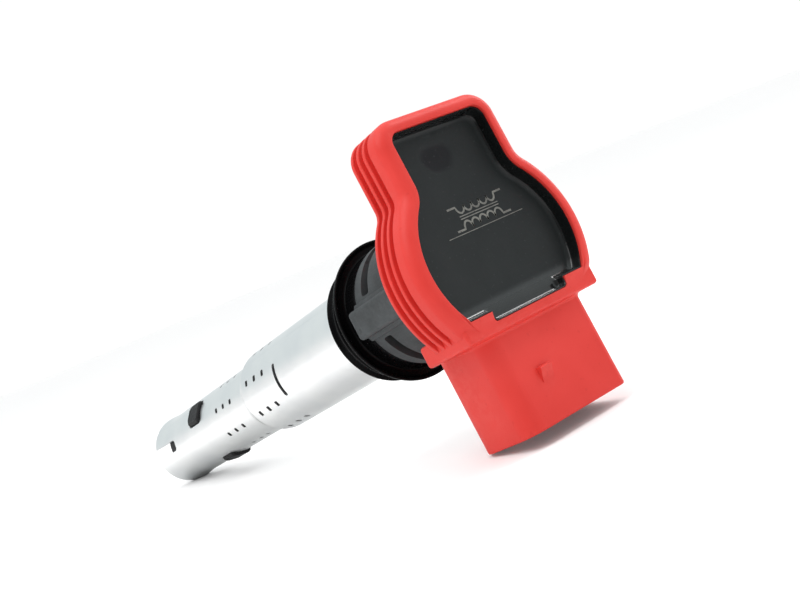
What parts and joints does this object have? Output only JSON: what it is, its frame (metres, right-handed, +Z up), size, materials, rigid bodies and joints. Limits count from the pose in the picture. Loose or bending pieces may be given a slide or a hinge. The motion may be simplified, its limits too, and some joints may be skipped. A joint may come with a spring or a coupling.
{
  "type": "ignition coil",
  "caption": "Pencil-type ignition coil: ribbed head with resin-filled top and side connector, rubber well seal, slotted steel tube, silicone plug boot and a sprung contact.",
  "frame": {"origin": "on the coil's axis, in the plane of the well seal's lip", "axes": "+Z up the coil's axis from the spark plug to the head, -Y out of the connector's mouth, +X across the head"},
  "size_m": [0.0452, 0.0678, 0.1768],
  "materials": {
    "red_plastic": "satin moulded plastic",
    "cast_resin": "satin cast resin with glossy edge",
    "tinned_brass": "tinned",
    "circuit_board": "solder mask",
    "copper": "enamelled copper",
    "black_plastic": "moulded",
    "natural_plastic": "moulded",
    "grey_plastic": "matte moulded plastic",
    "seal_rubber": "smooth rubber",
    "bright_steel": "bright drawn steel",
    "core_iron": "laminated",
    "magnet": "sintered",
    "pad_rubber": "soft rubber",
    "ceramic": "matte ceramic",
    "boot_silicone": "smooth silicone",
    "spring_steel": "drawn wire"
  },
  "bodies": {
    "coil_body": {"head_housing": "red_plastic", "resin_cover": "cast_resin", "terminal_pin_1": "tinned_brass", "terminal_pin_2": "tinned_brass", "terminal_pin_3": "tinned_brass", "terminal_pin_4": "tinned_brass", "driver_board": "circuit_board", "heat_spreader": "copper", "power_transistor": "black_plastic", "smoothing_capacitor": "natural_plastic", "neck_body": "grey_plastic", "well_seal": "seal_rubber", "shield_sleeve": "bright_steel", "coil_case": "black_plastic", "primary_bobbin": "natural_plastic", "primary_winding": "copper", "secondary_bobbin": "natural_plastic", "secondary_winding": "copper", "core_stack": "core_iron", "magnet_upper": "magnet", "magnet_lower": "magnet", "core_buffer_upper": "pad_rubber", "core_buffer_lower": "pad_rubber", "lead_supply": "tinned_brass", "lead_switched": "tinned_brass", "hv_terminal": "tinned_brass", "suppressor_resistor": "ceramic", "plug_boot": "boot_silicone", "contact_spring": "spring_steel"},
    "contact": {"contact_cup": "tinned_brass"}
  },
  "joints": [
    {"name": "contact_slide", "type": "slide", "parent": "coil_body", "child": "contact", "axis": [0, 0, 1], "range_m": [0, 0.005], "stiffness_N_per_m": 1000, "deforming": ["contact_spring"]}
  ]
}
